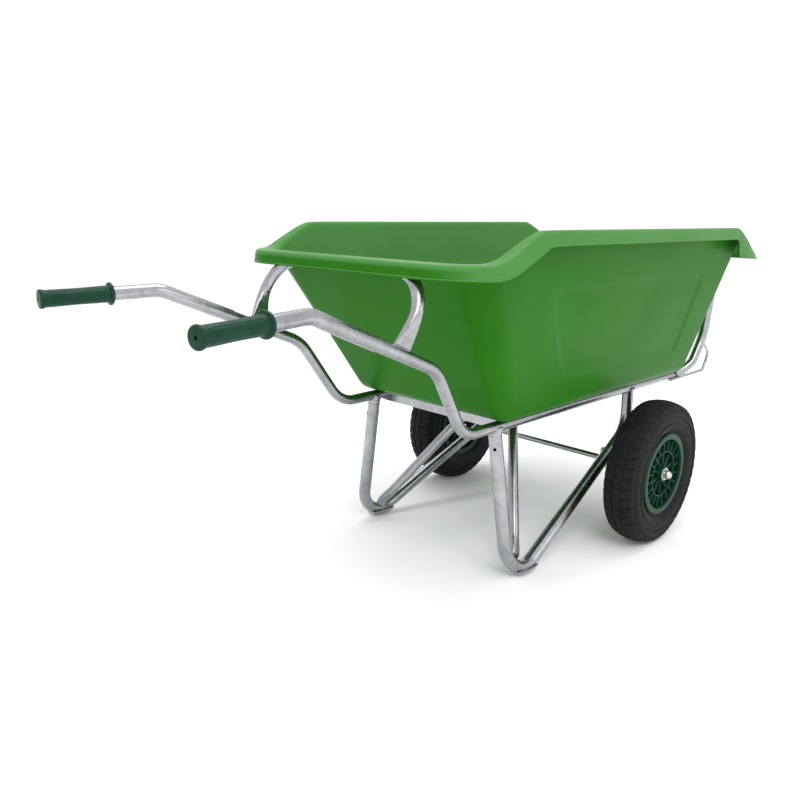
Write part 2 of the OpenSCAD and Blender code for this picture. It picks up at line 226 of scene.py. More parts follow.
def bead(shape, points, radius, seed, closed=False):
    """A weld bead: a thin lumpy run along the points."""
    points = np.asarray(points, float)
    rng = np.random.default_rng(seed)
    if closed:
        points = np.vstack([points, points[:1]])
    seg = np.linalg.norm(np.diff(points, axis=0), axis=1)
    s = np.concatenate([[0], np.cumsum(seg)])
    n = max(8, int(s[-1] / 1.6))
    u = np.linspace(0, s[-1], n)
    path = np.stack([np.interp(u, s, points[:, k]) for k in range(3)], 1)
    wobble = 1 + 0.16 * np.sin(u * 2 * math.pi / 4.5) + 0.08 * rng.standard_normal(n)
    if closed:
        wobble[-1] = wobble[0]
    else:
        wobble *= smooth(np.minimum(u, s[-1] - u) / (radius * 1.5)) * 0.75 + 0.25
    frames = path_frames(path, (0.3, 0.5, 0.8))
    wide = radius * wobble
    rings = sweep_rings(path, frames, lambda i: (wide[i], wide[i] * 0.8, UNPRESSED), 8)
    shape.rings(rings)


def lathe(shape, profile, centre_y, count):
    """Turns a closed profile of (radius, sideways) about the axle line."""
    r, y = np.asarray(profile, float).T
    rings = []
    for k in range(count):
        a = 2 * math.pi * k / count
        rings.append(np.stack([r * math.cos(a), y + centre_y, AXLE_Z / MM + r * math.sin(a)], 1))
    shape.rings(rings, loop=True)


def rounded_profile(points, radius, steps=4):
    """Rounds the corners of a closed outline."""
    points = [np.asarray(p, float) for p in points]
    n, out = len(points), []
    for i, b in enumerate(points):
        a, c = points[i - 1], points[(i + 1) % n]
        la, lc = np.linalg.norm(a - b), np.linalg.norm(c - b)
        d = min(radius, la * 0.45, lc * 0.45)
        p, q = b + (a - b) * d / la, b + (c - b) * d / lc
        out += curve3(p, b, q, steps)
    return np.array(out)


# ---------------------------------------------------------------- materials
class Nodes:
    """One material: its shader, and short calls that make and join its nodes."""

    def __init__(self, name):
        self.mat = bpy.data.materials.new(name)
        self.mat.use_nodes = True
        self.tree = self.mat.node_tree
        self.shader = self.tree.nodes["Principled BSDF"]
        self.coords = self.tree.nodes.new("ShaderNodeTexCoord")

    def set(self, **values):
        for k, v in values.items():
            self.shader.inputs[k.replace("_", " ")].default_value = v

    def link(self, a, b):
        self.tree.links.new(a, b)

    def noise(self, scale, detail, roughness, stretch=None):
        n = self.tree.nodes.new("ShaderNodeTexNoise")
        n.inputs["Scale"].default_value = scale
        n.inputs["Detail"].default_value = detail
        n.inputs["Roughness"].default_value = roughness
        self.feed(n, stretch)
        return n.outputs["Fac"]

    def feed(self, node, stretch=None):
        out = self.coords.outputs["Object"]
        if stretch:
            m = self.tree.nodes.new("ShaderNodeMapping")
            m.inputs["Scale"].default_value = stretch
            self.link(out, m.inputs["Vector"])
            out = m.outputs["Vector"]
        self.link(out, node.inputs["Vector"])

    def cells(self, scale):
        n = self.tree.nodes.new("ShaderNodeTexVoronoi")
        n.inputs["Scale"].default_value = scale
        self.feed(n)
        return n.outputs["Color"]

    def ramp(self, value, *stops):
        n = self.tree.nodes.new("ShaderNodeValToRGB")
        while len(n.color_ramp.elements) < len(stops):
            n.color_ramp.elements.new(0.5)
        for e, (pos, colour) in zip(n.color_ramp.elements, stops):
            e.position = pos
            e.color = (*colour, 1)
        self.link(value, n.inputs["Fac"])
        return n.outputs["Color"]

    def level(self, value, low, high):
        """Spreads a value from 0 to 1 over low to high."""
        n = self.tree.nodes.new("ShaderNodeMapRange")
        n.inputs["To Min"].default_value = low
        n.inputs["To Max"].default_value = high
        self.link(value, n.inputs["Value"])
        return n.outputs["Result"]

    def mix(self, factor, a, b):
        n = self.tree.nodes.new("ShaderNodeMix")
        n.data_type = "RGBA"
        if isinstance(factor, float):
            n.inputs["Factor"].default_value = factor
        else:
            self.link(factor, n.inputs["Factor"])
        for socket, v in (("A", a), ("B", b)):
            target = [s for s in n.inputs if s.name == socket and s.type == "RGBA"][0]
            if isinstance(v, tuple):
                target.default_value = (*v, 1)
            else:
                self.link(v, target)
        return [s for s in n.outputs if s.type == "RGBA"][0]

    def bump(self, *pairs):
        """Chains (height, strength, distance) bumps into the shader's normal."""
        last = None
        for height, strength, distance in pairs:
            n = self.tree.nodes.new("ShaderNodeBump")
            n.inputs["Strength"].default_value = strength
            n.inputs["Distance"].default_value = distance
            self.link(height, n.inputs["Height"])
            if last:
                self.link(last, n.inputs["Normal"])
            last = n.outputs["Normal"]
        self.link(last, self.shader.inputs["Normal"])

    def facing_up(self):
        """How far the surface faces up: 1 on top, 0 on an upright side, below 0 underneath."""
        geometry = self.tree.nodes.new("ShaderNodeNewGeometry")
        split = self.tree.nodes.new("ShaderNodeSeparateXYZ")
        self.link(geometry.outputs["Normal"], split.inputs[0])
        return split.outputs["Z"]

    def colour(self, out):
        self.link(out, self.shader.inputs["Base Color"])

    def rough(self, out):
        self.link(out, self.shader.inputs["Roughness"])


def tub_plastic():
    m = Nodes("tub_plastic")
    m.set(Specular_IOR_Level=0.06, IOR=1.5)
    cloudy = m.ramp(m.noise(3.5, 5, 0.55), (0.3, (0.013, 0.121, 0.002)), (0.7, (0.019, 0.143, 0.004)))
    scuffs = m.ramp(m.noise(60, 6, 0.7, stretch=(0.35, 1, 1)), (0.66, (0, 0, 0)), (0.78, (1, 1, 1)))
    # Painted top light: surfaces that face up are mixed toward a lighter green, which stands in for the light
    # falling on them from above.
    painted_top_light_green = m.ramp(m.noise(3.5, 5, 0.55), (0.3, (0.052, 0.178, 0.040)), (0.7, (0.064, 0.205, 0.050)))
    painted_top_light_mask = m.ramp(m.facing_up(), (0.0, (0, 0, 0)), (0.18, (1, 1, 1)))
    tone_with_painted_top_light = m.mix(painted_top_light_mask, cloudy, painted_top_light_green)
    m.colour(m.mix(m.level(scuffs, 0.0, 0.08), tone_with_painted_top_light, (0.16, 0.36, 0.12)))
    m.rough(m.level(m.noise(9, 6, 0.6), 0.26, 0.42))
    m.bump((m.noise(2.6, 3, 0.5), 0.12, 0.010), (m.noise(900, 2, 0.5), 0.05, 0.0004))
    return m.mat


def galvanised():
    m = Nodes("galvanised")
    m.set(Metallic=1.0)
    spangle = m.ramp(m.cells(95), (0.0, (0.26, 0.265, 0.28)), (1.0, (0.43, 0.44, 0.46)))
    clouds = m.ramp(m.noise(14, 5, 0.6), (0.35, (0.27, 0.275, 0.29)), (0.72, (0.46, 0.47, 0.495)))
    grime = m.ramp(m.noise(30, 8, 0.7), (0.58, (0, 0, 0)), (0.80, (1, 1, 1)))
    base = m.mix(0.45, clouds, spangle)
    m.colour(m.mix(m.level(grime, 0.0, 0.18), base, (0.18, 0.18, 0.19)))
    m.rough(m.level(m.noise(45, 5, 0.6), 0.18, 0.34))
    m.bump((m.noise(22, 4, 0.55), 0.14, 0.0010), (m.noise(260, 3, 0.6), 0.08, 0.0003))
    return m.mat


def zinc():
    m = Nodes("zinc")
    m.set(Metallic=1.0)
    m.colour(m.ramp(m.noise(70, 4, 0.6), (0.3, (0.46, 0.47, 0.49)), (0.75, (0.62, 0.63, 0.64))))
    m.rough(m.level(m.noise(220, 4, 0.6), 0.18, 0.34))
    m.bump((m.noise(500, 3, 0.5), 0.08, 0.0003),)
    return m.mat


def green_plastic():
    m = Nodes("green_plastic")
    m.set(Specular_IOR_Level=0.15)
    m.colour(m.ramp(m.noise(40, 5, 0.6), (0.3, (0.002, 0.026, 0.013)), (0.72, (0.004, 0.044, 0.022))))
    m.rough(m.level(m.noise(90, 5, 0.6), 0.28, 0.42))
    m.bump((m.noise(700, 2, 0.5), 0.06, 0.0003),)
    return m.mat


def tyre_rubber():
    m = Nodes("tyre")
    m.set(Specular_IOR_Level=0.12)
    base = m.ramp(m.noise(18, 6, 0.65), (0.3, (0.007, 0.008, 0.009)), (0.75, (0.015, 0.016, 0.017)))
    dust = m.ramp(m.noise(120, 6, 0.7), (0.60, (0, 0, 0)), (0.85, (1, 1, 1)))
    m.colour(m.mix(m.level(dust, 0.0, 0.22), base, (0.07, 0.068, 0.062)))
    m.rough(m.level(m.noise(60, 5, 0.6), 0.52, 0.74))
    m.bump((m.noise(500, 4, 0.6), 0.14, 0.0005),)
    return m.mat


def plain_rubber():
    m = Nodes("rubber")
    m.colour(m.ramp(m.noise(50, 4, 0.6), (0.3, (0.014, 0.014, 0.014)), (0.7, (0.030, 0.029, 0.028))))
    m.rough(m.level(m.noise(140, 4, 0.6), 0.5, 0.7))
    m.bump((m.noise(600, 3, 0.6), 0.10, 0.0003),)
    return m.mat


def nylon():
    m = Nodes("nylon")
    m.colour(m.ramp(m.noise(60, 4, 0.6), (0.3, (0.56, 0.55, 0.50)), (0.7, (0.68, 0.67, 0.62))))
    m.rough(m.level(m.noise(160, 4, 0.6), 0.38, 0.52))
    m.bump((m.noise(700, 3, 0.5), 0.06, 0.0003),)
    return m.mat


MATERIALS = {
    "tub_plastic": tub_plastic(),
    "galvanised": galvanised(),
    "zinc": zinc(),
    "green_plastic": green_plastic(),
    "tyre": tyre_rubber(),
    "rubber": plain_rubber(),
    "nylon": nylon(),
}
for row in frame["record"]["subparts"]:
    node = frame["nodes"][row["node"]]
    node.data.materials.clear()
    node.data.materials.append(MATERIALS[row["material_slot"]])

STEEL = MATERIALS["galvanised"]

# ---------------------------------------------------------------- frame lines
REAR_BEND_X, RAIL_Y, RAIL_Z, PITCH = -673.0, 205.0, 384.5, math.radians(1.03)
TUBE_D, TUBE_WALL, LEG_D, HANDLE_D, BRACE_D = 27.0, 2.0, 33.0, 30.0, 26.0
LEG_WALL = 2.5


def rail_z(x):
    return RAIL_Z + (x - REAR_BEND_X) * math.tan(PITCH)


GRIP_END = np.array([-1416, 289, 685.0])
HANDLE_BEND = np.array([-1169, 252, 697.0])
UPPER_BEND = np.array([-798, 223, 555.5])
LOWER_BEND = np.array([REAR_BEND_X, RAIL_Y, RAIL_Z])
RAIL_END = np.array([432, RAIL_Y, rail_z(432)])
SLOPE = unit(UPPER_BEND - HANDLE_BEND)
SLEEVE_END = HANDLE_BEND + SLOPE * 189
LEG_PATH = [(-548, RAIL_Y - 3, rail_z(-548)), (-525.7, 261, -23.6), (100, 211, 275.3),
            (100, RAIL_Y, rail_z(100))]
WELD_R = 2.4


def frame_tubes():
    for name, side in SIDES.items():
        s = Shape()
        path = rounded_path([HANDLE_BEND + SLOPE * 85, UPPER_BEND, LOWER_BEND, RAIL_END], [110, 90])
        round_tube(s, path, TUBE_D, TUBE_WALL)
        s.piece(f"side_tube_{name}", "frame", "galvanised", STEEL, f"frame_tube_{name}", side)
        s = Shape()
        path = rounded_path([GRIP_END + 6 * unit(HANDLE_BEND - GRIP_END), HANDLE_BEND, SLEEVE_END], [80])
        round_tube(s, path, HANDLE_D, (HANDLE_D - TUBE_D) / 2 - 0.1)
        s.piece(f"handle_sleeve_{name}", "frame", "galvanised", STEEL, f"handle_tube_{name}", side)


def pressed(path, r, flat_t, reach, widths):
    """Half sizes along a tube whose ends are pressed flat; widths says how wide at each reach."""
    s = np.concatenate([[0], np.cumsum(np.linalg.norm(np.diff(path, axis=0), axis=1))])

    def halves(i):
        from_end = min(s[i], s[-1] - s[i])
        k = from_end / reach[-1]
        press = flat_t + (r - flat_t) * k ** 1.15 if k < 1 else UNPRESSED
        return (float(np.interp(from_end, reach, widths)), r, press)

    return halves


def side_beads(shape, foot, way, half_w, reach, y_shift, seed):
    """Weld beads up both edges of a flat end."""
    across = unit(np.array([way[2], 0, -way[0]]))
    for k, turn in enumerate((1, -1)):
        a = foot + across * turn * half_w + way * reach[0]
        b = foot + across * turn * half_w * 0.96 + way * reach[1]
        a[1] += y_shift
        b[1] += y_shift
        bead(shape, [a, b], WELD_R, seed + k)


def hoop(half, radii, lead, reach, widths):
    """A hoop through half its points and their mirror images, its ends pressed flat."""
    way = unit(half[1] - half[0])
    half = [half[0] + way * lead, *half[1:]]
    points = half + [mirrored(p, -1) for p in half[::-1]]
    path = rounded_path(points, radii + radii[::-1], 3)
    shape = Shape()
    halves = pressed(path, TUBE_D / 2, 3.0, reach, widths)
    shape.rings(sweep_rings(path, path_frames(path, np.cross((0, 1, 0), way)), halves, 56))
    return shape, way


def drill(piece, at, way, d, depth):
    """Cuts a round hole that goes in along way."""
    bm = bmesh.new()
    r = d / 2 * MM
    bmesh.ops.create_cone(bm, cap_ends=True, segments=28, radius1=r, radius2=r, depth=depth * MM)
    turn = Vector(way).to_track_quat("Z", "Y").to_matrix().to_4x4()
    bmesh.ops.transform(bm, matrix=Matrix.Translation(Vector(place([at])[0])) @ turn, verts=bm.verts)
    me = bpy.data.meshes.new("drill")
    bm.to_mesh(me)
    bm.free()
    tool = bpy.data.objects.new("drill", me)
    bpy.context.scene.collection.objects.link(tool)
    cut = piece.modifiers.new("cut", "BOOLEAN")
    cut.operation, cut.solver, cut.object = "DIFFERENCE", "EXACT", tool
    bpy.context.view_layer.update()
    new = bpy.data.meshes.new_from_object(piece.evaluated_get(bpy.context.evaluated_depsgraph_get()))
    piece.modifiers.remove(cut)
    bpy.data.objects.remove(tool)
    old, piece.data = piece.data, new
    name = old.name
    bpy.data.meshes.remove(old)
    new.name = name


def rear_hoop():
    foot = np.array([-919, 232.4, 611.5])
    knee = np.array([-903, 243, 657.0])
    corner = np.array([-862, 256, 761.0])
    s, way = hoop([foot, knee, corner], [70, 90], 1.5, (0, 20, 41, 62, 80), (25, 21.5, 18.5, 15, 13.5))
    welds = Shape()
    for side in (1, -1):
        turned = mirrored(way, side)
        start = mirrored(foot, side) + turned * 4.6
        along = unit(UPPER_BEND - HANDLE_BEND) * np.array([1, side, 1])
        for k, y in enumerate((3.6, -3.6)):
            shift = np.array([0, y, 0])
            bead(welds, [start + shift - along * 24, start + shift + along * 24], WELD_R, 31 + k)
    welds.piece("rear_hoop_welds", "frame", "galvanised", STEEL)
    piece = s.piece("rear_hoop_tube", "frame", "galvanised", STEEL, "rear_hoop")
    for side in (1, -1):
        drill(piece, (-893, side * 234, 682), (0, side, 0), 8, 16)


def front_hoop():
    foot = np.array([399, RAIL_Y + 15.5, rail_z(399) + 2])
    knee = np.array([432, RAIL_Y + 41, rail_z(432) + 42])
    half = [foot, knee, np.array([470, 254, 530.0]), np.array([473, 265, 782.0])]
    s, way = hoop(half, [40, 150, 90], -5, (0, 12, 42), (20, 18, 13.5))
    for side in (1, -1):
        side_beads(s, mirrored(foot, side), mirrored(way, side), 17, (-3, 9), -side * 2.0, 41 + side)
    s.piece("front_hoop_tube", "frame", "galvanised", STEEL, "front_hoop")


def cope(ring, z):
    """Moves an end ring along Z onto the side tube above it, whose middle is at height z."""
    out = ring.copy()
    r = TUBE_D / 2
    w = np.clip(np.abs(out[:, 1] - RAIL_Y), 0, r)
    out[:, 2] = z - np.sqrt(np.maximum(0, r * r - w * w))
    return out


def legs():
    for name, side in SIDES.items():
        s = Shape()
        path = rounded_path(LEG_PATH, [81.5, 85], 4)
        path[0] += unit(path[1] - path[0]) * 22
        path[-1] += unit(path[-2] - path[-1]) * 22
        frames = path_frames(path, (1, 0, 0))
        r = LEG_D / 2
        outer = sweep_rings(path, frames, lambda i: (r, r, UNPRESSED), 44)
        inner = sweep_rings(path, frames, lambda i: (r - LEG_WALL, r - LEG_WALL, UNPRESSED), 44)
        ends = []
        for i in (0, -1):
            z = rail_z(path[i][0])
            ends.append([cope(ring[i], z) for ring in (outer, inner)])
        rings = [ends[0][0], *outer, ends[1][0], ends[1][1], *inner[::-1], ends[0][1]]
        s.rings(rings, loop=True)
        welds = Shape()
        for k, e in enumerate(ends):
            bead(welds, e[0] + np.array([0, 0, -0.6]), WELD_R, 51 + k, closed=True)
        welds.piece(f"leg_welds_{name}", "frame", "galvanised", STEEL, side=side)
        piece = s.piece(f"leg_tube_{name}", "frame", "galvanised", STEEL, f"leg_{name}", side)
        drill(piece, (-563, side * 216, 335), (1, 0, 0), 8, 14)


def leg_braces():
    low, low_neck = np.array([-468, 234.5, 50.0]), np.array([-449, 215.6, 80.0])
    high_neck, high = np.array([-291, 79, 326.0]), np.array([-272, 62.5, 356.0])
    down = np.array([-math.sin(math.radians(32)), 0, -math.cos(math.radians(32))])
    for name, side in SIDES.items():
        s = Shape()
        points = [low + down * 14, low - down * 2, low_neck, high_neck, high, high + np.array([0, 0, 29.0])]
        path = rounded_path(points, [20, 45, 45, 24], 4)
        t = np.gradient(path, axis=0)
        t /= np.linalg.norm(t, axis=1)[:, None]
        share = np.linspace(0, 1, len(path))
        ws, hs = [], []
        for i in range(len(path)):
            k = float(smooth((share[i] - 0.3) / 0.4))
            thin = unit(np.array([0, 1, 0]) * (1 - k) + np.array([1, 0, 0]) * k)
            thin = unit(thin - (thin @ t[i]) * t[i])
            hs.append(thin)
            ws.append(np.cross(thin, t[i]))
        frames = (t, np.array(ws), np.array(hs))
        halves = pressed(path, BRACE_D / 2, 2.5, (0, 30, 58), (17, 16, 13))
        s.rings(sweep_rings(path, frames, halves, 44))
        s.piece(f"brace_tube_{name}", "frame", "galvanised", STEEL, f"leg_brace_{name}", side)


def tip_stops():
    for name, side in SIDES.items():
        s = Shape()
        start = (350, RAIL_Y + 13.6, rail_z(350) - 11.7)
        points = [start, (566, 228, 401), (600, 229, 455), (466, 255, 512)]
        path = rounded_path(points, [16, 34], 3)
        frames = path_frames(path, (0, 1, 0))
        s.rings(sweep_rings(path, frames, lambda i: (4.5, 4.5, UNPRESSED), 22))
        a = np.array(points[0]) + np.array([2, -3.5, 2.5])
        b = a + unit(np.array(points[1]) - np.array(points[0])) * 40
        bead(s, [a, b], WELD_R, 61)
        s.piece(f"tip_loop_{name}", "frame", "galvanised", STEEL, f"tip_stop_{name}", side)


# ---------------------------------------------------------------- grips
def grips():
    """Profile along the grip: end flange, waisted body, collar."""
    axis = unit(HANDLE_BEND - GRIP_END)
    profile = [(3.5, 6.0), (3.5, 0.9), (4.4, 0.0), (16.0, 0.0), (18.6, 0.7), (19.8, 2.6), (20.0, 5.2),
               (19.4, 7.6), (18.4, 9.6), (17.8, 12.5), (17.5, 17.0)]
    for k in range(1, 24):
        x = 17 + k * 4.75
        profile.append((17.35 + 0.35 * math.cos((x - 17) / 114 * 2 * math.pi), x))
    profile += [(17.9, 134.5), (18.6, 136.8), (20.6, 138.2), (23.0, 138.8), (23.9, 140.2), (24.0, 142.6),
                (23.5, 144.6), (21.5, 145.6), (20.2, 146.4), (19.6, 147.6), (18.2, 148.0), (15.1, 148.0),
                (15.1, 6.0)]
    profile = np.array(profile)
    count = 96
    for name, side in SIDES.items():
        across = unit(np.cross(axis, (0, 0, 1)))
        other = np.cross(across, axis)
        rings = []
        for k in range(count):
            a = 2 * math.pi * k / count
            groove = 0.55 * (0.5 - 0.5 * math.cos(a * 12)) ** 3
            r = profile[:, 0].copy()
            body = (profile[:, 1] > 17) & (profile[:, 1] < 133) & (r > 16)
            fade = smooth((profile[:, 1] - 17) / 8) * smooth((133 - profile[:, 1]) / 8)
            r = r - groove * body * fade
            outward = math.cos(a) * across + math.sin(a) * other
            rings.append(GRIP_END + profile[:, 1:] * axis + r[:, None] * outward)
        s = Shape()
        s.rings(rings, loop=True)
        s.piece(f"grip_sleeve_{name}", "frame", "green_plastic", MATERIALS["green_plastic"],
                f"grip_{name}", side)


# ---------------------------------------------------------------- tub
# Heights of the rim above the underside and depth of its skirt, thicknesses, radii at the base
SIDE_H, REAR_H, LIP_H, SKIRT_H = 450.0, 386.0, 366.0, 32.0
WALL, SHEET = 4.0, 3.0
BASE_R, REAR_BASE_R = 35.0, 75.0
# Height at which the walls' plan is given, and the middle of the floor
TOP_H = 460.0
FLOOR_CENTRE = np.array([-92.0, 0.0])
ARC_STEPS, WALL_STEPS = 8, 46
RIM_TOP = [(-887, REAR_H - 1), (-800, REAR_H), (-775, REAR_H + 7), (-690, SIDE_H - 14), (-655, SIDE_H - 1),
           (-600, SIDE_H), (350, SIDE_H), (385, SIDE_H - 13), (430, SIDE_H - 36), (468, LIP_H + 24),
           (512, LIP_H - 4)]
RIM_BOTTOM = [(-887, REAR_H - SKIRT_H), (-800, REAR_H - SKIRT_H), (-765, REAR_H - SKIRT_H + 8),
              (-645, SIDE_H - SKIRT_H - 1), (-600, SIDE_H - SKIRT_H), (318, SIDE_H - SKIRT_H),
              (330, SIDE_H - SKIRT_H - 6), (339, LIP_H + 6), (355, LIP_H), (512, LIP_H - 9)]
# Corners of the side walls' panel, how deep it is, and how wide and how soft its edge is
PANEL = [(-556, 331), (270, 334), (255, 62), (-375, 80)]
PANEL_DEPTH, PANEL_EDGE, PANEL_SOFT = 2.5, 25.0, 16.0


def softened(outline, width):
    """The outline as a function of x, with its corners rounded."""
    xs = np.arange(-960.0, 580.0)
    pts = np.array(outline, float)
    first = (pts[1, 1] - pts[0, 1]) / (pts[1, 0] - pts[0, 0])
    last = (pts[-1, 1] - pts[-2, 1]) / (pts[-1, 0] - pts[-2, 0])
    ys = np.interp(xs, pts[:, 0], pts[:, 1])
    ys = np.where(xs < pts[0, 0], pts[0, 1] + (xs - pts[0, 0]) * first, ys)
    ys = np.where(xs > pts[-1, 0], pts[-1, 1] + (xs - pts[-1, 0]) * last, ys)
    kernel = np.exp(-0.5 * (np.arange(-3 * width, 3 * width + 1) / width) ** 2)
    kernel /= kernel.sum()
    padded = np.pad(ys, int(3 * width), mode="edge")
    soft = np.convolve(padded, kernel, mode="valid")
    edge = smooth((xs - pts[0, 0]) / 30) * smooth((pts[-1, 0] - xs) / 30)
    soft = ys + (soft - ys) * edge
    return lambda x: np.interp(x, xs, soft)


rim_top = softened(RIM_TOP, 7)
rim_bottom = softened(RIM_BOTTOM, 4)


def tub_stations():
    """Plan stations round the tub: normal, base radius and centre, top centre and radius, rim point."""
    corners = {
        "front": dict(low=BASE_R, base=(356, 217), top=(421, 326), r=30, rim=(482, 351), rr=30),
        "rear": dict(low=REAR_BASE_R, base=(-528, 217), top=(-794, 270), r=86, rim=(-742, 242), rr=145),
    }

    def make(angle, c, side):
        n = np.array([math.cos(angle), math.sin(angle)])
        flip = np.array([1, side])
        low = 1 / math.hypot(n[0] / c["low"], n[1] / BASE_R)
        return dict(n=n, low=low, base=np.array(c["base"]) * flip, top=np.array(c["top"]) * flip,
                    r=float(c["r"]), rim=np.array(c["rim"]) * flip + n * c["rr"])

    def between(a, b, count):
        long = abs(a["rim"][0] - b["rim"][0]) > 100
        shares = [k / count for k in range(1, count)]
        if long:
            xs = [*range(-735, 316, 7), *range(316, 360, 2), *range(364, 480, 5)]
            shares = sorted((x - a["rim"][0]) / (b["rim"][0] - a["rim"][0]) for x in xs)
        return [{key: a[key] * (1 - t) + b[key] * t for key in a} for t in shares]

    order = [("front", 1, 0, 90, 16), ("rear", 1, 90, 180, 24),
             ("rear", -1, 180, 270, 24), ("front", -1, 270, 360, 16)]
    edges = [150, 44, 150, 40]
    arcs = []
    for name, side, a0, a1, n in order:
        arcs.append([make(math.radians(a0 + (a1 - a0) * k / n), corners[name], side) for k in range(n + 1)])
    stations = []
    for i, arc in enumerate(arcs):
        stations += arc
        stations += between(arc[-1], arcs[(i + 1) % 4][0], edges[i])
    return stations


def panel_depth(x, h):
    """How far the pressed-in panel of a side wall stands back at (x, h)."""
    pts = [np.array(p, float) for p in PANEL]
    inside = []
    for i in range(4):
        a, b = pts[i], pts[(i + 1) % 4]
        e = unit(b - a)
        inside.append((x - a[0]) * e[1] - (h - a[1]) * e[0])
    near = np.clip(np.array(inside), -200, 400)
    d = -PANEL_SOFT * np.log(np.exp(-near / PANEL_SOFT).sum(0))
    return PANEL_DEPTH * smooth(d / PANEL_EDGE)


def wall_profile(st, skin):
    """Points from the floor edge up to the rim corner: base arc, then the straight wall."""
    low = st["low"]
    r = low - skin
    n = st["n"]
    lateral = st["top"] - st["base"]
    top_s = lateral @ n + st["r"] - skin
    top_h = TOP_H - low
    dist = math.hypot(top_s, top_h)
    angle = math.atan2(top_h, top_s) - math.acos(r / dist)
    slide = lateral - (lateral @ n) * n
    pts = []
    for k in range(ARC_STEPS + 1):
        a = -math.pi / 2 + (angle + math.pi / 2) * k / ARC_STEPS
        pts.append((*(st["base"] + n * r * math.cos(a)), low + r * math.sin(a)))
    foot = np.array([r * math.cos(angle), r * math.sin(angle)])

    def at(h):
        t = (h - low - foot[1]) / (top_h - foot[1])
        s = foot[0] + (top_s - foot[0]) * t
        return st["base"] + n * s + slide * t

    h = 440.0
    for _ in range(12):
        h = float(rim_top(at(h)[0]))
    h_low = pts[-1][2]
    for k in range(1, WALL_STEPS + 1):
        hk = h_low + (h - h_low) * k / WALL_STEPS
        pts.append((*at(hk), hk))
    return np.array(pts)


def tub_section(st):
    """The closed cross-section at one station, from the floor inside round the rim to the floor outside."""
    n3 = np.array([*st["n"], 0.0])
    inner = wall_profile(st, WALL)
    outer = wall_profile(st, 0.0)
    for pts in (inner, outer):
        side_share = smooth((abs(st["n"][1]) - 0.97) / 0.03)
        pts[:, 1] -= np.sign(st["n"][1]) * panel_depth(pts[:, 0], pts[:, 2]) * side_share
    corner_in, corner_out = inner[-1], outer[-1]
    rim = np.array([*(st["rim"] - st["n"] * (2.5 + 9.5 * st["n"][1] ** 2)), 0.0])
    rim[2] = rim_top(rim[0])
    foot = np.array([*st["rim"], 0.0])
    foot[2] = rim_bottom(foot[0])
    skirt = rim[2] - foot[2]
    soft_top, soft_side = 14.0, min(9.0, skirt * 0.3)
    out = list(inner[:-1])
    while np.linalg.norm(out[-1] - corner_in) < soft_top:
        out.pop()
    wall_way = unit(inner[-1] - inner[-8])
    rim_way = unit(rim - corner_in)

    def flange(p):
        return np.array([p[0], p[1], rim_top(p[0])])

    start = corner_in - wall_way * soft_top
    shoulder_end = flange(corner_in + rim_way * soft_top)
    shoulder = curve3(start, corner_in, shoulder_end, 6)
    edge_start = flange(rim - rim_way * soft_side)
    span = [flange(shoulder_end * (1 - t) + edge_start * t) for t in np.linspace(0, 1, 7)[1:-1]]
    down = unit(foot - rim)
    edge = curve3(edge_start, rim, rim + down * soft_side, 5)
    lip = min(5.0, skirt * 0.28)
    bead_top = foot - down * lip
    bead_out = [bead_top - n3 * 0.6, foot - down * lip * 0.75, foot - down * lip * 0.35,
                foot - n3 * 0.6, foot - n3 * 2.2, foot - n3 * 3.8 - down * 0.8]
    outside = [edge[-1] * (1 - t) + (bead_top - n3 * 1.2) * t for t in np.linspace(0, 1, 5)[1:]]
    inside = [(foot - n3 * (SHEET + 1.4) - down * min(4, skirt * 0.3)) * (1 - t)
              + (rim - n3 * SHEET - rim_way * 0.5 + np.array([0, 0, -SHEET - 4.0 * min(1, skirt / 20)])) * t
              for t in np.linspace(0, 1, 4)]
    under_start = flange(rim - n3 * (SHEET + 5)) - np.array([0, 0, SHEET])
    under_end = flange(corner_out + rim_way * 7) - np.array([0, 0, SHEET])
    under = [flange(under_start * (1 - t) + under_end * t) - np.array([0, 0, SHEET])
             for t in np.linspace(0, 1, 5)]
    wall_out = list(outer[:-1])
    while np.linalg.norm(wall_out[-1] - corner_out) < 12:
        wall_out.pop()
    return out, shoulder, span, edge, outside, bead_out, inside, under, wall_out[::-1]


def tub():
    stations = tub_stations()
    sections = [tub_section(st) for st in stations]
    wall_in = min(len(p[0]) for p in sections)
    wall_out = min(len(p[8]) for p in sections)
    rows = []
    arc = ARC_STEPS + 1
    shares = [0.2, 0.45, 0.7, 0.9]

    def resample(points, count):
        points = np.array(points)
        s = np.concatenate([[0], np.cumsum(np.linalg.norm(np.diff(points, axis=0), axis=1))])
        u = np.linspace(0, s[-1], count)
        return np.stack([np.interp(u, s, points[:, k]) for k in range(3)], 1)

    for st, parts in zip(stations, sections):
        inner_arc, inner_wall = parts[0][:arc], parts[0][arc:]
        outer_wall, outer_arc = parts[8][:-arc], parts[8][-arc:]
        floor_in = [np.array([*(FLOOR_CENTRE + (st["base"] - FLOOR_CENTRE) * f), WALL]) for f in shares]
        floor_out = [np.array([*(FLOOR_CENTRE + (st["base"] - FLOOR_CENTRE) * f), 0.0]) for f in shares[::-1]]
        row = floor_in + list(inner_arc) + list(resample(inner_wall, wall_in - arc))
        for p in parts[1:8]:
            row += list(p)
        row += list(resample(outer_wall, wall_out - arc)) + list(outer_arc) + floor_out
        rows.append(row)
    rows = np.array(rows)
    rings = rows.transpose(1, 0, 2)
    flat = rings.reshape(-1, 3)
    x, y, h = flat[:, 0] - REAR_BEND_X, flat[:, 1], flat[:, 2] + TUBE_D / 2
    flat = np.stack([REAR_BEND_X + x * math.cos(PITCH) - h * math.sin(PITCH), y,
                     RAIL_Z + x * math.sin(PITCH) + h * math.cos(PITCH)], 1)
    s = Shape()
    s.rings(flat.reshape(rings.shape))
    s.piece("tub_shell", "frame", "tub_plastic", MATERIALS["tub_plastic"], "tub", angle=55)


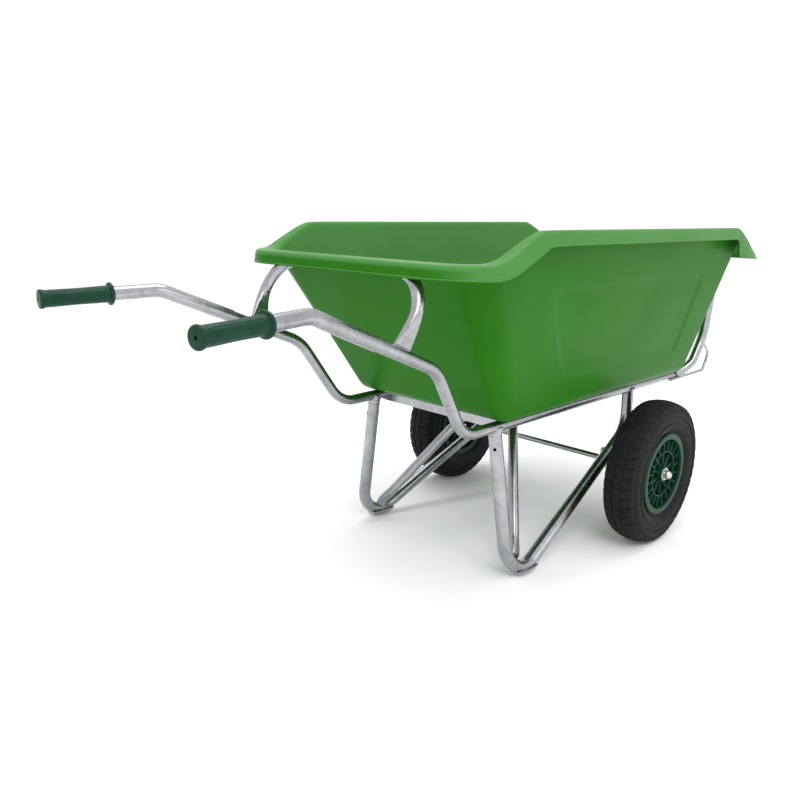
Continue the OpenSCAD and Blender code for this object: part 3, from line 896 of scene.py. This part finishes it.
# ---------------------------------------------------------------- wheels
WHEEL_Y, WHEEL_R, SECTION = 348.0, 200.0, 47.0
TREAD_BLOCKS = 44
TREAD_STEP = 2 * math.pi / TREAD_BLOCKS
TREAD_R, SHOULDER_R = 197, 190


def tyre_outline():
    """(radius, sideways, tread share) points round the outside of the tyre, from bead to bead."""
    middle = WHEEL_R - SECTION
    pts = []
    for y in np.linspace(-38, 38, 53):
        pts.append((105 + math.sqrt(95 ** 2 - y * y), y, 1.0))
    side = [(190.4, 39.4, 0.6), (187.0, 40.6, 0.25), (183.0, 41.6, 0.0)]
    for a in np.linspace(34, -40, 30):
        r = middle + SECTION * math.sin(math.radians(a))
        y = SECTION * math.cos(math.radians(a))
        side.append((r, y, 0.0))
    side += [(121.0, 34.6, 0.0), (117.6, 33.4, 0.0), (114.5, 33.0, 0.0)]
    left = [(r, -y, t) for r, y, t in side[::-1]]
    return np.array(left + pts + side)


def tread_depth(angle, y):
    """Depth of the tread pattern in millimetres at an angle round the tyre and a place across it."""
    turn = angle / TREAD_STEP
    depth = np.zeros_like(y)
    zig = 2.6 * np.abs((turn % 1.0) * 2 - 1) - 1.3
    for centre in (-11.5, 11.5):
        depth = np.maximum(depth, 3.6 * smooth((2.5 - np.abs(y - centre - zig)) / 0.9))
    phase = (turn + np.where(y > 0, 0.0, 0.5) + np.abs(y) * 0.012) % 1.0
    gap = np.abs(phase - 0.5) * TREAD_STEP * TREAD_R
    notch = 3.4 * smooth((2.6 - gap) / 0.9) * smooth((np.abs(y) - 11) / 1.5)
    centre_gap = np.abs((turn + 0.25) % 1.0 - 0.5) * TREAD_STEP * TREAD_R
    sipe = 2.2 * smooth((1.5 - centre_gap) / 0.8) * smooth((9.0 - np.abs(y)) / 1.2)
    return np.maximum(np.maximum(depth, notch), sipe)


def tyres():
    outline = tyre_outline()
    half = [(114.5, 33), (114.5, 24), (134, 30), (153, 41), (187, 26)]
    inner = rounded_profile(half + [(190, 0)] + [(r, -y) for r, y in half[::-1]], 8)
    inner = inner[inner[:, 0] > 114.9]
    ridges = ((171.0, 0.7, 1.6), (166.0, 0.5, 1.2), (131.0, 0.8, 2.2), (124.0, 0.7, 1.6))
    count = 9 * TREAD_BLOCKS
    for name, side in SIDES.items():
        rings = []
        for k in range(count):
            a = 2 * math.pi * k / count
            r = outline[:, 0].copy()
            y = outline[:, 1]
            r = r - tread_depth(a, y) * outline[:, 2]
            crown = (np.abs(y) > 38) & (outline[:, 0] > 178)
            phase = (a / TREAD_STEP + np.where(y > 0, 0.0, 0.5) + np.abs(y) * 0.012) % 1.0
            notch = 1.8 * smooth((2.6 - np.abs(phase - 0.5) * TREAD_STEP * SHOULDER_R) / 0.9)
            r = r - notch * crown * 0.6
            yy = y - np.sign(y) * notch * crown
            for ring_r, height, width in ridges:
                ridge = height * np.exp(-((outline[:, 0] - ring_r) / width) ** 2) * (np.abs(y) > 33)
                yy = yy + np.sign(y) * (ridge - 0.8 * (np.abs(y) > 46.0))
            yy = np.clip(yy, -SECTION, SECTION)
            rr = np.concatenate([r, inner[:, 0]])
            ys = np.concatenate([yy, inner[:, 1]])
            rings.append(np.stack([rr * math.cos(a), ys + WHEEL_Y, AXLE_Z / MM + rr * math.sin(a)], 1))
        s = Shape()
        s.rings(rings, loop=True)
        s.piece(f"tyre_casing_{name}", f"wheel_{name}", "tyre", MATERIALS["tyre"],
                f"tyre_{name}", side, angle=32)


def rims():
    """Moulded rim: bead flanges, drum, web, two rings and radial ribs."""
    for name, side in SIDES.items():
        s = Shape()
        z = AXLE_Z / MM
        flange = [(96.7, 36), (98.6, 39.2), (103, 39.5), (112.0, 39.2), (114.6, 37.6), (114.9, 35.0),
                  (112.6, 33.6), (107, 33.2), (102.2, 31.5), (101.7, 25)]
        drum = [(r, -y) for r, y in flange] + flange[::-1]
        lathe(s, rounded_profile(drum, 1.6, 3), WHEEL_Y, 160)
        lathe(s, rounded_profile([(61, -34), (64.5, -34), (64.5, 34), (61, 34)], 1.2, 3), WHEEL_Y, 128)
        hub = [(13, -37.5), (21, -37.5), (22.4, -2), (22.4, 2), (21, 37.5), (13, 37.5)]
        lathe(s, rounded_profile(hub, 1.2, 3), WHEEL_Y, 96)
        lathe(s, rounded_profile([(20, -2), (97.5, -2), (97.5, 2), (20, 2)], 0.4, 2), WHEEL_Y, 128)
        for count, r0, r1, thick, half in ((20, 62.5, 98.3, 3.2, 34), (10, 19, 62, 4.0, 30)):
            for i in range(count):
                a = (i + 0.5) * 2 * math.pi / count
                m = (Matrix.Translation((0, WHEEL_Y, z)) @ Matrix.Rotation(a, 4, "Y")
                     @ Matrix.Translation(((r0 + r1) / 2, 0, 0)))
                s.box(m, (r1 - r0, 2 * half, thick), 0.9)
        s.piece(f"wheel_rim_{name}", f"wheel_{name}", "green_plastic", MATERIALS["green_plastic"],
                f"rim_{name}", side)


frame_tubes()
rear_hoop()
front_hoop()
legs()
leg_braces()
tip_stops()
grips()
tub()
tyres()
rims()


# ---------------------------------------------------------------- camera, floor, light
def camera():
    """Stands behind and to the right of the object and looks forward, to the left and a little down."""
    cam = bpy.data.objects.new("camera", bpy.data.cameras.new("camera"))
    bpy.context.scene.collection.objects.link(cam)
    yaw, pitch, roll = 0.8087, 0.2168, 0.0307
    d = Vector((math.cos(yaw) * math.cos(pitch), math.sin(yaw) * math.cos(pitch), -math.sin(pitch)))
    r = Vector((math.sin(yaw), -math.cos(yaw), 0))
    u = r.cross(d)
    right, up = r * math.cos(roll) + u * math.sin(roll), u * math.cos(roll) - r * math.sin(roll)
    m = Matrix((right, up, -d)).transposed().to_4x4()
    m.translation = Vector((AXLE_X - 1.9949, -1.2290, 0.8606))
    cam.matrix_world = m
    cam.data.lens, cam.data.sensor_width = 34.12, 36.0
    cam.data.shift_x, cam.data.shift_y = 0.0578, -0.0184
    cam.data.clip_start, cam.data.clip_end = 0.05, 100
    bpy.context.scene.camera = cam


def floor():
    me = bpy.data.meshes.new("floor")
    half = 30.0
    corners = [(-half, -half, 0), (half, -half, 0), (half, half, 0), (-half, half, 0)]
    me.from_pydata(corners, [], [(0, 1, 2, 3)])
    o = bpy.data.objects.new("floor", me)
    bpy.context.scene.collection.objects.link(o)
    m = Nodes("floor")
    m.colour(m.ramp(m.noise(2, 3, 0.5), (0.3, (0.96, 0.96, 0.96)), (0.7, (0.975, 0.975, 0.975))))
    m.set(Roughness=0.9, Specular_IOR_Level=0.1)
    me.materials.append(m.mat)


def area(name, place_at, target, size, power):
    light = bpy.data.lights.new(name, "AREA")
    light.shape, light.size, light.energy = "SQUARE", size, power
    o = bpy.data.objects.new(name, light)
    bpy.context.scene.collection.objects.link(o)
    o.location = place_at
    o.rotation_euler = (Vector(target) - Vector(place_at)).to_track_quat("-Z", "Y").to_euler()


def lights():
    world = bpy.data.worlds.new("world")
    bpy.context.scene.world = world
    world.use_nodes = True
    back = world.node_tree.nodes["Background"]
    back.inputs["Color"].default_value = (1, 1, 1, 1)
    back.inputs["Strength"].default_value = 1.05
    area("key", (-2.2, -2.8, 3.6), (0.1, 0, 0.4), 2.4, 75)
    area("side", (1.6, -4.2, 1.8), (0.2, 0, 0.5), 2.4, 25)
    area("top", (0.3, 0.4, 4.2), (0.2, 0, 0.5), 3.0, 90)
    bpy.context.scene.view_settings.view_transform = "Standard"


camera()
floor()
lights()
